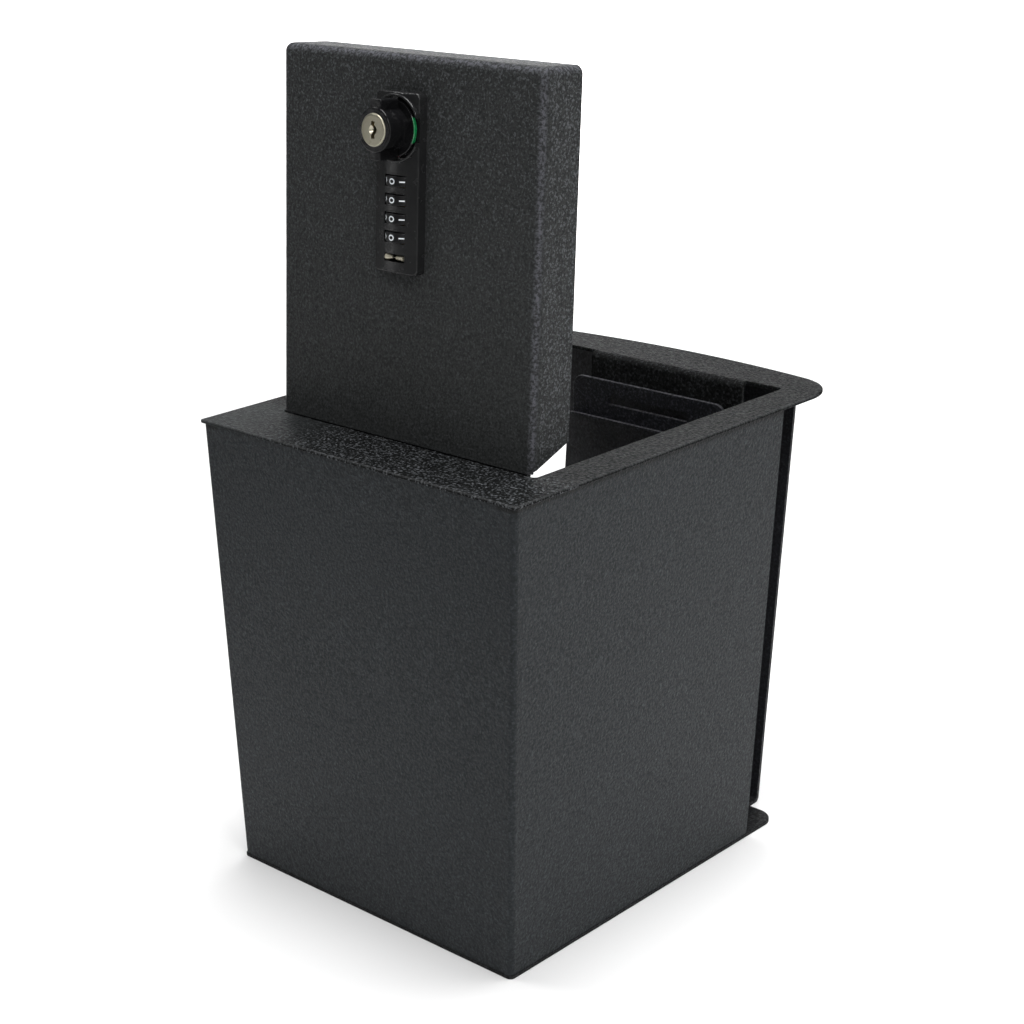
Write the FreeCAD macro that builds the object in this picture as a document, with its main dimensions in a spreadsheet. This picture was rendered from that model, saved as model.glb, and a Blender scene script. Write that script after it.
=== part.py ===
import FreeCAD, Part
import math
import os
import Sketcher
from FreeCAD import Placement, Rotation, Vector

# Steel cash box with a hinged lid and a four-wheel combination cam lock.
# Frame: +Z up, front towards -Y, origin on the floor at the middle of the outline.

os.makedirs("parts", exist_ok=True)
doc = FreeCAD.newDocument("cash_box")
sheet = doc.addObject("Spreadsheet::Sheet", "Sizes")


class Size:
    """A length that carries both its value and the expression that gives it."""

    def __init__(self, text, value):
        self.text = text
        self.value = float(value)

    @staticmethod
    def of(other):
        return other if isinstance(other, Size) else Size(repr(float(other)), other)

    def __add__(self, other):
        other = Size.of(other)
        return Size("(%s + %s)" % (self.text, other.text), self.value + other.value)

    def __sub__(self, other):
        other = Size.of(other)
        return Size("(%s - %s)" % (self.text, other.text), self.value - other.value)

    def __mul__(self, other):
        other = Size.of(other)
        return Size("(%s * %s)" % (self.text, other.text), self.value * other.value)

    def __truediv__(self, other):
        other = Size.of(other)
        return Size("(%s / %s)" % (self.text, other.text), self.value / other.value)

    def __radd__(self, other):
        return Size.of(other) + self

    def __rsub__(self, other):
        return Size.of(other) - self

    def __rmul__(self, other):
        return Size.of(other) * self

    def __rtruediv__(self, other):
        return Size.of(other) / self

    def __neg__(self):
        return Size("(0 - %s)" % self.text, -self.value)

    def root(self):
        return Size("sqrt(%s)" % self.text, math.sqrt(self.value))


TABLE = [
    # top plate
    ("top_w", 231.6, "top plate width"),
    ("top_d", 287.0, "top plate depth"),
    ("box_h", 265.0, "floor underside to top plate face"),
    ("sheet_t", 2.0, "sheet steel"),
    ("rear_arc_r", 617.0, "bow of the top plate's rear edge"),
    ("rear_corner_r", 29.0, "rear corners of the top plate"),
    ("edge_r", 0.6, "eased edges under the coating"),
    # walls
    ("wall_w", 229.0, "outside width of the walls at the top"),
    ("wall_front", 142.5, "front wall ahead of the origin at the top"),
    ("side_lean", 9.9, "each side wall leans in by this at the floor"),
    ("front_lean", 3.5, "front wall leans back by this at the floor"),
    ("rear_lean", 10.6, "rear edge of a side wall leans forward by this"),
    ("side_end", 80.8, "rear edge of the side walls at the top"),
    ("wall_bend_r", 3.0, "outer radius of the front bends"),
    # rear panel, with an open corner on each side of it
    ("rear_half", 83.6, "half width of the rear panel at the floor"),
    ("rear_flare", 1.6, "rear panel wider by this on each side at the top"),
    ("rear_foot", 110.0, "front face of the rear panel at the floor"),
    ("rear_slope", 0.098, "rear panel leans back by this for each unit of height"),
    ("rear_bend_r", 1.5, "inner radius at the foot of the rear panel"),
    # floor
    ("floor_over", 0.4, "floor plate beyond the walls"),
    ("floor_rear", 100.5, "rear edge of the floor plate"),
    ("floor_corner_r", 11.5, "rear corners of the floor plate"),
    ("tab_root_r", 2.5, "root of the floor plate's rear tab"),
    ("bolt_dx", 120.0, "bolt holes across"),
    ("bolt_dy", 140.0, "bolt holes deep"),
    ("bolt_back", 17.0, "bolt pattern ahead of the origin"),
    ("bolt_hole_r", 4.5, "bolt hole radius"),
    # mouth, flange and strike
    ("open_half", 93.1, "half width of the mouth"),
    ("open_front", 103.5, "front edge of the mouth ahead of the origin"),
    ("open_rear", 109.7, "rear edge of the mouth"),
    ("flange_left", 44.5, "rear flange to the left"),
    ("flange_right", 68.0, "rear flange to the right"),
    ("flange_face", 105.7, "front face of the rear flange"),
    ("flange_drop", 22.0, "rear flange height"),
    ("bend_r", 4.0, "outer radius of the flange bend"),
    ("strike_half", 58.0, "half width of the strike plate"),
    ("strike_high", 16.0, "strike plate top below the top plate"),
    ("strike_low", 41.0, "strike plate bottom below the top plate"),
    ("strike_r", 8.0, "strike plate upper corners"),
    ("slot_half", 30.0, "half width of the strike slot"),
    ("slot_high", 25.0, "slot top below the top plate"),
    ("slot_low", 30.5, "slot bottom below the top plate"),
    ("lip_out", 2.4, "bottom lip of the strike plate"),
    # hinge
    ("hinge_y", 100.1, "hinge axis ahead of the origin"),
    ("hinge_drop", 1.3, "hinge axis below the top plate face"),
    ("knuckle_r", 2.5, "hinge knuckle radius"),
    ("pin_r", 1.5, "hinge pin radius"),
    ("bore_r", 1.55, "hinge bore radius"),
    ("leaf_t", 1.2, "hinge leaf"),
    ("leaf_len", 18.0, "hinge leaf reach"),
    ("knuckle_pitch", 15.5, "hinge knuckle pitch"),
    ("knuckle_gap", 0.4, "gap between knuckles"),
    ("hinge_clear", 2.9, "leaf edge to hinge axis"),
    ("open_angle", 86.43, "lid as shown, from closed"),
    # lid
    ("lid_half", 91.6, "half width of the lid"),
    ("lid_len", 199.0, "lid length"),
    ("lid_deep", 27.7, "lid pan depth"),
    ("lid_bend_r", 4.5, "outer bends of the lid"),
    ("axis_deep", 4.5, "hinge axis behind the lid face"),
    ("axis_back", 2.0, "hinge axis beyond the lid edge"),
    ("slant_top", 1.2, "flange cut at the lid face"),
    ("slant_low", 13.3, "flange cut at the flange edge"),
    # lid rests
    ("rest_front", 46.0, "lid rest front end"),
    ("rest_len", 30.0, "lid rest length"),
    ("rest_face", 239.0, "lid rest upper face"),
    ("rest_in", 86.0, "lid rest inner edge"),
    ("rest_deep", 22.0, "lid rest weld leg"),
    ("pad_t", 1.2, "rubber pad"),
    # lock plate
    ("lock_half", 15.1, "half width of the lock plate"),
    ("lock_low", 89.5, "lock plate from the lid edge"),
    ("lock_len", 91.4, "lock plate length"),
    ("lock_t", 6.9, "lock plate thickness at the middle"),
    ("lock_side_t", 5.6, "lock plate thickness at the sides"),
    ("lock_corner_r", 3.0, "lock plate corners"),
    ("lock_edge_r", 1.0, "lock plate front edges"),
    ("skin_low", 5.3, "inner side of the lock plate's front skin"),
    ("pocket_half", 10.5, "wheel pocket half width"),
    ("window_half", 7.0, "wheel window half width"),
    ("window_tall", 6.0, "wheel window along the lid"),
    ("wheel_first", 136.45, "first wheel from the lid edge"),
    ("wheel_pitch", 9.48, "wheel pitch"),
    ("wheel_r", 9.5, "number wheel radius"),
    ("wheel_t", 5.2, "number wheel width"),
    ("wheel_lift", -0.4, "wheel axis above the lid face"),
    ("hub_r", 5.2, "wheel hub radius"),
    ("hub_t", 3.4, "wheel hub width"),
    ("axle_r", 1.5, "wheel axle radius"),
    ("axle_bore_r", 1.56, "wheel bore radius"),
    ("code_at", 97.4, "code change slot from the lid edge"),
    ("code_half", 7.1, "code change slot half width"),
    ("code_tall", 4.0, "code change slot height"),
    # knob
    ("knob_at", 162.8, "knob axis from the lid edge"),
    ("recess_r", 16.2, "knob recess"),
    ("recess_low", 5.0, "floor of the knob recess"),
    ("ring_r", 17.2, "raised ring round the recess"),
    ("ring_top", 8.2, "front of the raised ring"),
    ("collar_r", 16.1, "collar radius"),
    ("collar_t", 0.6, "collar thickness"),
    ("collar_in_r", 8.6, "collar bore"),
    ("base_r", 14.1, "knob base radius"),
    ("base_top", 8.0, "front of the knob base"),
    ("sign_in_r", 13.2, "inner radius of the indicators"),
    ("sign_low", 6.0, "rear of the indicators"),
    ("sign_half", 30.0, "half angle of the indicators"),
    ("sign_red_t", 1.3, "height of the red indicator, under the rim of the base"),
    ("base_edge_r", 0.6, "rounding of the knob base"),
    ("knob_r", 10.6, "knob radius"),
    ("knob_ring_r", 11.3, "front ring of the knob"),
    ("knob_ring_low", 20.2, "rear of the knob's front ring"),
    ("knob_low", 5.7, "knob underside"),
    ("knob_top", 22.2, "knob front"),
    ("wing_half", 3.8, "knob wing half width"),
    ("wing_reach", 15.2, "knob wing reach"),
    ("wing_low", 9.0, "knob wing underside"),
    ("wing_back", 1.0, "knob wing behind the knob front"),
    ("shell_r", 8.3, "key cylinder radius"),
    ("shell_out", 0.8, "key cylinder ahead of the knob front"),
    ("shell_low", 9.8, "key cylinder inner end"),
    ("plug_r", 5.5, "key plug radius"),
    ("plug_bore_r", 5.56, "key plug bore"),
    ("plug_head_r", 7.1, "key plug head radius"),
    ("key_half_w", 1.15, "keyway half width"),
    ("key_half_h", 4.3, "keyway half height"),
    ("key_step", 0.35, "sideways step in the keyway"),
    ("key_mouth_r", 2.7, "funnel round the middle of the keyway"),
    ("key_mouth_deep", 1.3, "depth of that funnel"),
    ("spindle_r", 6.0, "spindle radius"),
    ("spindle_bore_r", 6.07, "spindle bore"),
    # lock case and cam
    ("case_half", 14.0, "lock case half width"),
    ("case_deep", 26.0, "lock case back, behind the lid face"),
    ("case_floor", 11.6, "wheel chamber floor behind the lid face"),
    ("cam_front", 29.5, "cam front face behind the lid face"),
    ("cam_t", 2.8, "cam thickness"),
    ("cam_len", 43.7, "cam reach"),
    ("cam_half", 7.0, "cam half width"),
    ("square_half", 4.0, "spindle square half width"),
    ("screw_x", 11.6, "lock screws across"),
    ("screw_r", 1.5, "lock screw radius"),
    ("screw_head_r", 2.8, "lock screw head radius"),
]

values = {}
for row, (alias, value, note) in enumerate(TABLE, start=1):
    sheet.set("A%d" % row, note)
    sheet.set("B%d" % row, str(value))
    sheet.setAlias("B%d" % row, alias)
    values[alias] = Size("Sizes.%s" % alias, value)
doc.recompute()


def z(alias):
    return values[alias]


nodes = []


# --- helpers for bodies -----------------------------------------------------

def new_body(label):
    body = doc.addObject("PartDesign::Body", label)
    body.Label = label
    nodes.append(body)
    return body


def plane_of(body, role):
    for feature in body.Origin.OriginFeatures:
        if feature.Role == role:
            return feature


def new_sketch(body, name, plane, start):
    """Sketch on a plane of the body, shifted by start along +Z, +Y or +X."""
    sketch = body.newObject("Sketcher::SketchObject", body.Label + "_" + name)
    sketch.AttachmentSupport = [(plane_of(body, plane + "_Plane"), "")]
    sketch.MapMode = "FlatFace"
    start = Size.of(start)
    if plane == "XZ":
        start = -start
    sketch.setExpression("AttachmentOffset.Base.z", start.text)
    return sketch


def fix_point(sketch, index, which, px, py):
    for kind, size in (("DistanceX", px), ("DistanceY", py)):
        size = Size.of(size)
        k = sketch.addConstraint(
            Sketcher.Constraint(kind, -1, 1, index, which, size.value))
        sketch.setExpression("Constraints[%d]" % k, size.text)


def draw_poly(sketch, points, arcs=None):
    """Closed outline; arcs maps a segment to (radius, centre x, centre y, turn)."""
    arcs = arcs or {}
    points = [(Size.of(a), Size.of(b)) for a, b in points]
    first = sketch.GeometryCount
    count = len(points)
    ends = []
    for i in range(count):
        a, b = points[i], points[(i + 1) % count]
        pa = Vector(a[0].value, a[1].value, 0)
        pb = Vector(b[0].value, b[1].value, 0)
        if i in arcs:
            radius, cx, cy, turn = arcs[i]
            radius = Size.of(radius)
            ta = math.atan2(pa.y - cy, pa.x - cx)
            tb = math.atan2(pb.y - cy, pb.x - cx)
            circle = Part.Circle(Vector(cx, cy, 0), Vector(0, 0, 1), radius.value)
            if turn > 0:
                sketch.addGeometry(Part.ArcOfCircle(circle, ta, tb), False)
                ends.append((1, 2))
            else:
                sketch.addGeometry(Part.ArcOfCircle(circle, tb, ta), False)
                ends.append((2, 1))
        else:
            sketch.addGeometry(Part.LineSegment(pa, pb), False)
            ends.append((1, 2))
    for i in range(count):
        j = (i + 1) % count
        sketch.addConstraint(Sketcher.Constraint(
            "Coincident", first + i, ends[i][1], first + j, ends[j][0]))
    for i in range(count):
        fix_point(sketch, first + i, ends[i][0], points[i][0], points[i][1])
    for i, (radius, cx, cy, turn) in arcs.items():
        radius = Size.of(radius)
        k = sketch.addConstraint(
            Sketcher.Constraint("Radius", first + i, radius.value))
        sketch.setExpression("Constraints[%d]" % k, radius.text)


def draw_rect(sketch, x0, x1, y0, y1):
    draw_poly(sketch, [(x0, y0), (x1, y0), (x1, y1), (x0, y1)])


def draw_circle(sketch, cx, cy, radius):
    cx, cy, radius = Size.of(cx), Size.of(cy), Size.of(radius)
    i = sketch.addGeometry(Part.Circle(
        Vector(cx.value, cy.value, 0), Vector(0, 0, 1), radius.value), False)
    fix_point(sketch, i, 3, cx, cy)
    k = sketch.addConstraint(Sketcher.Constraint("Radius", i, radius.value))
    sketch.setExpression("Constraints[%d]" % k, radius.text)


def add(body, name, plane, start, length, draw):
    """Add a prism that runs from start along the plane's positive axis."""
    sketch = new_sketch(body, name + "_sketch", plane, start)
    draw(sketch)
    pad = body.newObject("PartDesign::Pad", body.Label + "_" + name)
    pad.Profile = sketch
    pad.setExpression("Length", Size.of(length).text)
    pad.Reversed = plane == "XZ"
    body.Tip = pad
    doc.recompute()
    return pad


def remove(body, name, plane, start, length, draw):
    """Remove a prism that runs from start along the plane's positive axis."""
    before = body.Shape.Volume
    sketch = new_sketch(body, name + "_sketch", plane, start)
    draw(sketch)
    pocket = body.newObject("PartDesign::Pocket", body.Label + "_" + name)
    pocket.Profile = sketch
    pocket.setExpression("Length", Size.of(length).text)
    pocket.Reversed = plane != "XZ"
    body.Tip = pocket
    doc.recompute()
    if not body.Shape.Volume < before - 1e-6:
        raise RuntimeError("nothing removed by %s of %s" % (name, body.Label))
    return pocket


def ease(body, name, radius, test):
    """Round the edges of the body that the test picks."""
    base = body.Tip
    picked = ["Edge%d" % i for i, edge in enumerate(base.Shape.Edges, start=1)
              if test(edge)]
    if not picked:
        raise RuntimeError("no edges for %s of %s" % (name, body.Label))
    fillet = body.newObject("PartDesign::Fillet", body.Label + "_" + name)
    fillet.Base = (base, picked)
    fillet.setExpression("Radius", Size.of(radius).text)
    body.Tip = fillet
    doc.recompute()
    if not fillet.isValid() or fillet.Shape.isNull():
        raise RuntimeError("rounding %s of %s failed" % (name, body.Label))
    return fillet


def bevel(body, name, size, test):
    """Chamfer the edges of the body that the test picks."""
    base = body.Tip
    picked = ["Edge%d" % i for i, edge in enumerate(base.Shape.Edges, start=1)
              if test(edge)]
    if not picked:
        raise RuntimeError("no edges for %s of %s" % (name, body.Label))
    chamfer = body.newObject("PartDesign::Chamfer", body.Label + "_" + name)
    chamfer.Base = (base, picked)
    chamfer.setExpression("Size", Size.of(size).text)
    body.Tip = chamfer
    doc.recompute()
    if not chamfer.isValid() or chamfer.Shape.isNull():
        raise RuntimeError("chamfer %s of %s failed" % (name, body.Label))
    return chamfer


def mid(edge):
    return edge.valueAt(0.5 * (edge.FirstParameter + edge.LastParameter))


def near(a, b, tol=0.02):
    return abs(a - Size.of(b).value) < tol


def runs(edge, axis):
    """True for a straight edge along the axis."""
    if len(edge.Vertexes) != 2:
        return False
    d = edge.Vertexes[1].Point - edge.Vertexes[0].Point
    others = {"X": (d.y, d.z), "Y": (d.x, d.z), "Z": (d.x, d.y)}[axis]
    return d.Length > 1e-6 and max(abs(v) for v in others) < 1e-6


# Lid pieces are drawn with the lid closed and then swung open about the hinge.
hinge_y = -z("hinge_y")
hinge_z = z("box_h") - z("hinge_drop")
face = hinge_z + z("axis_deep")
edge_y = hinge_y + z("axis_back")


def swing(obj):
    obj.Placement = Placement(Vector(0, 0, 0),
                              Rotation(Vector(1, 0, 0), z("open_angle").value))
    turn = "%s * 1 deg" % z("open_angle").text
    obj.setExpression("Placement.Rotation.Angle", z("open_angle").text)
    obj.setExpression("Placement.Base.y", "%s - (cos(%s) * %s - sin(%s) * %s)" % (
        hinge_y.text, turn, hinge_y.text, turn, hinge_z.text))
    obj.setExpression("Placement.Base.z", "%s - (sin(%s) * %s + cos(%s) * %s)" % (
        hinge_z.text, turn, hinge_y.text, turn, hinge_z.text))


# --- helpers for primitives -------------------------------------------------

def place(obj, px, py, pz):
    for axis, size in (("x", px), ("y", py), ("z", pz)):
        obj.setExpression("Placement.Base." + axis, Size.of(size).text)


def block(name, x0, x1, y0, y1, z0, z1):
    obj = doc.addObject("Part::Box", name)
    obj.setExpression("Length", (Size.of(x1) - x0).text)
    obj.setExpression("Width", (Size.of(y1) - y0).text)
    obj.setExpression("Height", (Size.of(z1) - z0).text)
    place(obj, x0, y0, z0)
    return obj


def rod(name, axis, px, py, pz, length, radius):
    obj = doc.addObject("Part::Cylinder", name)
    obj.setExpression("Radius", Size.of(radius).text)
    obj.setExpression("Height", Size.of(length).text)
    turn = {"Z": Rotation(), "X": Rotation(Vector(0, 1, 0), 90),
            "Y": Rotation(Vector(1, 0, 0), -90)}[axis]
    obj.Placement = Placement(Vector(0, 0, 0), turn)
    place(obj, px, py, pz)
    return obj


def cone(name, px, py, pz, length, first, last):
    """Cone along +X from its first radius to its last."""
    obj = doc.addObject("Part::Cone", name)
    obj.setExpression("Radius1", Size.of(first).text)
    obj.setExpression("Radius2", Size.of(last).text)
    obj.setExpression("Height", Size.of(length).text)
    obj.Placement = Placement(Vector(0, 0, 0), Rotation(Vector(0, 1, 0), 90))
    place(obj, px, py, pz)
    return obj


def fuse(name, shapes):
    obj = doc.addObject("Part::MultiFuse", name)
    obj.Shapes = shapes
    return obj


def cut(name, base, tool):
    obj = doc.addObject("Part::Cut", name)
    obj.Base = base
    obj.Tool = tool
    return obj


def node(obj, label, on_lid=False):
    obj.Label = label
    nodes.append(obj)
    if on_lid:
        swing(obj)
    return obj


# --- walls -------------------------------------------------------------------

T = z("sheet_t")
H = z("box_h")
floor_top = T
wall_top = H - T


def draw_walls(sketch, lean_x, lean_front, lean_rear):
    half = z("wall_w") / 2 - lean_x
    front = lean_front - z("wall_front")
    end = z("side_end") - lean_rear
    r = z("wall_bend_r")
    outer = [(half, end), (half, front + r), (half - r, front),
             (r - half, front), (-half, front + r), (-half, end)]
    inner = [(T - half, end), (T - half, front + r), (r - half, front + T),
             (half - r, front + T), (half - T, front + r), (half - T, end)]
    cx, cy = (half - r).value, (front + r).value
    draw_poly(sketch, outer + inner,
              {1: (r, cx, cy, -1), 3: (r, -cx, cy, -1),
               7: (r - T, -cx, cy, 1), 9: (r - T, cx, cy, 1)})


wrap = new_body("body_wrap")
low = new_sketch(wrap, "low", "XY", floor_top)
draw_walls(low, z("side_lean"), z("front_lean"), z("rear_lean"))
high = new_sketch(wrap, "high", "XY", wall_top)
draw_walls(high, Size.of(0), Size.of(0), Size.of(0))
loft = wrap.newObject("PartDesign::AdditiveLoft", "body_wrap_walls")
loft.Profile = low
loft.Sections = [high]
loft.Ruled = True
wrap.Tip = loft
doc.recompute()

# The rear panel turns up from the floor plate's tab and leans back.
slope = z("rear_slope")
slant = (slope * slope + 1).root()
lean_cos = 1 / slant
lean_sin = slope / slant
foot_in = z("rear_bend_r")
foot_out = foot_in + T
foot_y = z("rear_foot") + slope * foot_in - foot_in * slant
foot_z = T + foot_in
rear_top = z("rear_foot") + slope * (wall_top - T)

rear = new_body("rear_panel")
rear_wide = z("rear_half") + z("rear_flare")
add(rear, "sheet", "YZ", -rear_wide, rear_wide * 2, lambda s: draw_poly(
    s, [(foot_y, 0.0), (foot_y + foot_out * lean_cos, foot_z - foot_out * lean_sin),
        (rear_top + T * slant, wall_top), (rear_top, wall_top),
        (foot_y + foot_in * lean_cos, foot_z - foot_in * lean_sin), (foot_y, T)],
    {0: (foot_out, foot_y.value, foot_z.value, 1),
     4: (foot_in, foot_y.value, foot_z.value, -1)}))


def rear_sides(s):
    spare = z("rear_flare") / wall_top
    draw_poly(s, [(z("rear_half") - spare, -1.0), (rear_wide + 2.0, -1.0),
                  (rear_wide + 2.0, wall_top + 1.0), (rear_wide + spare, wall_top + 1.0)])
    draw_poly(s, [(spare - z("rear_half"), -1.0), (-spare - rear_wide, wall_top + 1.0),
                  (-rear_wide - 2.0, wall_top + 1.0), (-rear_wide - 2.0, -1.0)])


remove(rear, "sides", "XZ", z("rear_foot") - 20.0, 60.0, rear_sides)

# --- floor -------------------------------------------------------------------

floor = new_body("floor_plate")
floor_half = z("wall_w") / 2 - z("side_lean") + z("floor_over")
floor_front = z("front_lean") - z("wall_front") - z("floor_over")
add(floor, "plate", "XY", 0.0, T, lambda s: draw_rect(
    s, -floor_half, floor_half, floor_front, z("floor_rear")))
ease(floor, "rear_corners", z("floor_corner_r"), lambda e: (
    runs(e, "Z") and mid(e).y > 0))
ease(floor, "front_corners", z("wall_bend_r"), lambda e: (
    runs(e, "Z") and near(mid(e).y, floor_front)))
add(floor, "tab", "XY", 0.0, T, lambda s: draw_rect(
    s, -z("rear_half"), z("rear_half"), z("floor_rear") - 4.0, foot_y))
ease(floor, "tab_roots", z("tab_root_r"), lambda e: (
    runs(e, "Z") and near(abs(mid(e).x), z("rear_half")) and near(mid(e).y, z("floor_rear"))))


def bolt_circles(s):
    for sx in (-0.5, 0.5):
        for sy in (-0.5, 0.5):
            draw_circle(s, z("bolt_dx") * sx, z("bolt_dy") * sy - z("bolt_back"),
                        z("bolt_hole_r"))


remove(floor, "bolt_holes", "XY", -1.0, T + 2.0, bolt_circles)
ease(floor, "rim", z("edge_r"), lambda e: (
    near(mid(e).z, T) and mid(e).y < 84 and len(e.Vertexes) == 2
    and (e.Length > 40 or abs(mid(e).x) > 90)))

# --- top plate with the rear flange --------------------------------------------

top = new_body("top_frame")
top_half = z("top_w") / 2
top_front = -z("top_d") / 2
rear_apex = z("top_d") / 2
rear_drop = z("rear_arc_r") - (z("rear_arc_r") * z("rear_arc_r") - top_half * top_half).root()
rear_side = rear_apex - rear_drop
add(top, "plate", "XY", H - T, T, lambda s: draw_poly(
    s, [(-top_half, top_front), (top_half, top_front),
        (top_half, rear_side), (-top_half, rear_side)],
    {2: (z("rear_arc_r"), 0.0, rear_apex.value - z("rear_arc_r").value, 1)}))
ease(top, "rear_corners", z("rear_corner_r"), lambda e: (
    runs(e, "Z") and mid(e).y > 0))
ease(top, "front_corners", 1.2, lambda e: runs(e, "Z") and near(mid(e).y, top_front))
ease(top, "rim", z("edge_r"), lambda e: near(mid(e).z, H) or near(mid(e).z, H - T))
remove(top, "mouth", "XY", H - T - 1.0, T + 2.0, lambda s: draw_rect(
    s, -z("open_half"), z("open_half"), -z("open_front"), z("open_rear")))
ease(top, "mouth_corners", 2.5, lambda e: (
    runs(e, "Z") and near(abs(mid(e).x), z("open_half"))))
ease(top, "mouth_rim", z("edge_r"), lambda e: (
    near(mid(e).z, H) and (runs(e, "Y") and near(abs(mid(e).x), z("open_half"))
                           or runs(e, "X") and near(mid(e).y, -z("open_front")))))
bend_mid_y = z("flange_face") + z("bend_r")
bend_mid_z = H - z("bend_r")
add(top, "flange", "YZ", -z("flange_left"), z("flange_left") + z("flange_right"),
    lambda s: draw_poly(
        s, [(bend_mid_y, H), (z("flange_face"), bend_mid_z),
            (z("flange_face"), H - z("flange_drop")),
            (z("flange_face") + T, H - z("flange_drop")),
            (z("flange_face") + T, bend_mid_z), (bend_mid_y, H - T),
            (bend_mid_y + 0.4, H - T), (bend_mid_y + 0.4, H)],
        {0: (z("bend_r"), bend_mid_y.value, bend_mid_z.value, 1),
         4: (z("bend_r") - T, bend_mid_y.value, bend_mid_z.value, -1)}))

# --- strike plate ---------------------------------------------------------------

strike = new_body("strike_plate")
strike_face = z("flange_face") - T
add(strike, "plate", "XZ", strike_face, T, lambda s: draw_rect(
    s, -z("strike_half"), z("strike_half"), H - z("strike_low"), H - z("strike_high")))
add(strike, "lip", "XZ", strike_face - z("lip_out"), z("lip_out") + 0.5, lambda s: draw_rect(
    s, -z("strike_half"), z("strike_half"), H - z("strike_low"),
    H - z("strike_low") + 1.2))
ease(strike, "corners", z("strike_r"), lambda e: (
    runs(e, "Y") and near(mid(e).z, H - z("strike_high"))))
remove(strike, "slot", "XZ", strike_face - 1.0, T + 2.0, lambda s: draw_rect(
    s, -z("slot_half"), z("slot_half"), H - z("slot_low"), H - z("slot_high")))
ease(strike, "rim", 0.5, lambda e: (
    near(mid(e).y, strike_face) and mid(e).z > (H - z("strike_low")).value + 3.0
    and abs(mid(e).x) < z("strike_half").value + 0.1
    and not near(mid(e).z, H - z("slot_high"))
    and not near(abs(mid(e).x), z("slot_half"))))

# --- lid rests -------------------------------------------------------------------


def inner_wall(height):
    """Inner face of a side wall at a height."""
    return (z("wall_w") / 2 - T
            - z("side_lean") * (wall_top - height) / (wall_top - floor_top))


rest_y0 = z("rest_front")
rest_y1 = z("rest_front") + z("rest_len")
for side, label in ((-1.0, "lid_rest_left"), (1.0, "lid_rest_right")):
    rest = new_body(label)
    rest_low = z("rest_face") - z("rest_deep")
    low = new_sketch(rest, "low", "XY", rest_low)
    draw_rect(low, (inner_wall(rest_low) - T) * side, inner_wall(rest_low) * side,
              rest_y0, rest_y1)
    high = new_sketch(rest, "high", "XY", z("rest_face"))
    draw_rect(high, (inner_wall(z("rest_face")) - T) * side,
              inner_wall(z("rest_face")) * side, rest_y0, rest_y1)
    loft = rest.newObject("PartDesign::AdditiveLoft", label + "_leg")
    loft.Profile = low
    loft.Sections = [high]
    loft.Ruled = True
    rest.Tip = loft
    doc.recompute()
    add(rest, "ledge", "XY", z("rest_face") - T, T, lambda s: draw_rect(
        s, z("rest_in") * side, (inner_wall(z("rest_face")) - T / 2) * side,
        rest_y0, rest_y1))

pads = doc.addObject("Part::Compound", "rest_pads")
pads.Links = [
    block("pad_left", -(z("rest_in") + 7.0), -(z("rest_in") + 0.5), rest_y0 + 3.0,
          rest_y1 - 3.0, z("rest_face"), z("rest_face") + z("pad_t")),
    block("pad_right", z("rest_in") + 0.5, z("rest_in") + 7.0, rest_y0 + 3.0,
          rest_y1 - 3.0, z("rest_face"), z("rest_face") + z("pad_t"))]
node(pads, "rest_pads")

# --- piano hinge ------------------------------------------------------------------

KNUCKLES = 11
span = z("knuckle_pitch") * KNUCKLES
leaf_top = H - T


def knuckle_start(i):
    return z("knuckle_pitch") * i - span / 2 + z("knuckle_gap") / 2


knuckle_len = z("knuckle_pitch") - z("knuckle_gap")
shapes = [block("fixed_leaf_flat", -span / 2, span / 2,
                hinge_y - z("hinge_clear") - z("leaf_len"),
                hinge_y - z("hinge_clear"), leaf_top - z("leaf_t"), leaf_top)]
for i in range(0, KNUCKLES, 2):
    shapes.append(rod("fixed_knuckle_%d" % i, "X", knuckle_start(i), hinge_y, hinge_z,
                      knuckle_len, z("knuckle_r")))
    shapes.append(block("fixed_web_%d" % i, knuckle_start(i),
                        knuckle_start(i) + knuckle_len,
                        hinge_y - z("hinge_clear") - 0.5, hinge_y,
                        leaf_top - z("leaf_t"), leaf_top))
node(cut("hinge_fixed_leaf_cut", fuse("fixed_leaf_all", shapes),
         rod("fixed_bore", "X", -span / 2 - 1.0, hinge_y, hinge_z, span + 2.0,
             z("bore_r"))), "hinge_fixed_leaf")

leaf_face = face - T
shapes = [block("moving_leaf_flat", -span / 2, span / 2,
                hinge_y + z("hinge_clear"),
                hinge_y + z("hinge_clear") + z("leaf_len"),
                leaf_face - z("leaf_t"), leaf_face)]
for i in range(1, KNUCKLES, 2):
    shapes.append(rod("moving_knuckle_%d" % i, "X", knuckle_start(i), hinge_y, hinge_z,
                      knuckle_len, z("knuckle_r")))
    shapes.append(block("moving_web_%d" % i, knuckle_start(i),
                        knuckle_start(i) + knuckle_len, hinge_y,
                        hinge_y + z("hinge_clear") + 0.5,
                        leaf_face - z("leaf_t"), leaf_face))
node(cut("hinge_moving_leaf_cut", fuse("moving_leaf_all", shapes),
         rod("moving_bore", "X", -span / 2 - 1.0, hinge_y, hinge_z, span + 2.0,
             z("bore_r"))), "hinge_moving_leaf", on_lid=True)

node(rod("hinge_pin_rod", "X", -span / 2 - 0.5, hinge_y, hinge_z, span + 1.0,
         z("pin_r")), "hinge_pin")

# --- lid pan ------------------------------------------------------------------------

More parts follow.
